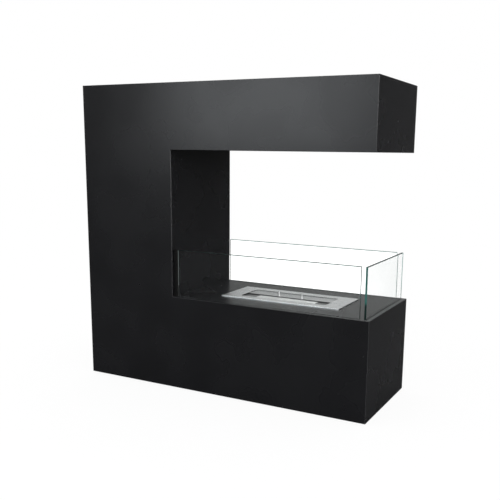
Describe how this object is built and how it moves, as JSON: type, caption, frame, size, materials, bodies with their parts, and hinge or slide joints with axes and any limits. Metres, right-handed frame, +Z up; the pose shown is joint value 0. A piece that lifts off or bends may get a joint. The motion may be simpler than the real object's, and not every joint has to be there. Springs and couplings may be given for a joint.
{
  "type": "bioethanol fireplace",
  "caption": "Free-standing C-shaped bioethanol fireplace of folded black sheet steel, open on three sides, with a stainless burner and a low glass screen round the flame.",
  "frame": {"origin": "on the floor, under the middle of the casing's footprint", "axes": "+X along the front towards the open end, +Y from the front to the back, +Z up"},
  "size_m": [1, 0.36, 0.965],
  "materials": {
    "black_steel": "satin black powder coat",
    "brushed_steel": "brushed stainless",
    "turned_steel": "turned stainless",
    "zinc_fasteners": "zinc plated",
    "clear_glass": "clear toughened float glass",
    "black_rubber": "matt",
    "seal_fibre": "woven fibre strip",
    "ceramic_wool": "ceramic fibre wool"
  },
  "bodies": {
    "casing": {"angle_arm_column": "black_steel", "angle_arm_end_lower": "black_steel", "angle_arm_end_upper": "black_steel", "angle_bottom_left": "black_steel", "angle_bottom_right": "black_steel", "angle_deck_column": "black_steel", "angle_top_left": "black_steel", "arm_end_panel": "black_steel", "arm_underside_panel": "black_steel", "base_end_panel": "black_steel", "bottom_panel": "black_steel", "column_inner_panel": "black_steel", "column_strip": "black_rubber", "deck_panel": "black_steel", "foot_front_left": "black_rubber", "foot_front_right": "black_rubber", "foot_nuts": "zinc_fasteners", "foot_rear_left": "black_rubber", "foot_rear_right": "black_rubber", "foot_screws": "zinc_fasteners", "front_plate": "black_steel", "gasket_end": "black_rubber", "gasket_front": "black_rubber", "gasket_rear": "black_rubber", "glazing_channel_end": "black_steel", "glazing_channel_front": "black_steel", "glazing_channel_rear": "black_steel", "left_side_panel": "black_steel", "rear_plate": "black_steel", "top_panel": "black_steel"},
    "burner": {"burner_flange": "brushed_steel", "flange_seal": "seal_fibre", "burner_casing": "brushed_steel", "burner_tray": "brushed_steel", "slider_rail_left": "brushed_steel", "slider_rail_right": "brushed_steel", "fuel_box": "brushed_steel", "ceramic_wool": "ceramic_wool"},
    "slider": {"slider_plate": "brushed_steel", "knob_left": "turned_steel", "knob_right": "turned_steel", "knob_screws": "zinc_fasteners"},
    "front_pane": {"glass_front": "clear_glass"},
    "rear_pane": {"glass_rear": "clear_glass"},
    "end_pane": {"glass_end": "clear_glass"}
  },
  "joints": [
    {"name": "burner_lift", "type": "slide", "parent": "casing", "child": "burner", "axis": [0, 0, 1], "range_m": [0, 0.12]},
    {"name": "slider_travel", "type": "slide", "parent": "burner", "child": "slider", "axis": [0, -1, 0], "range_m": [0, 0.045]},
    {"name": "front_pane_lift", "type": "slide", "parent": "casing", "child": "front_pane", "axis": [0, 0, 1], "range_m": [0, 0.03]},
    {"name": "rear_pane_lift", "type": "slide", "parent": "casing", "child": "rear_pane", "axis": [0, 0, 1], "range_m": [0, 0.03]},
    {"name": "end_pane_lift", "type": "slide", "parent": "casing", "child": "end_pane", "axis": [0, 0, 1], "range_m": [0, 0.03]}
  ]
}
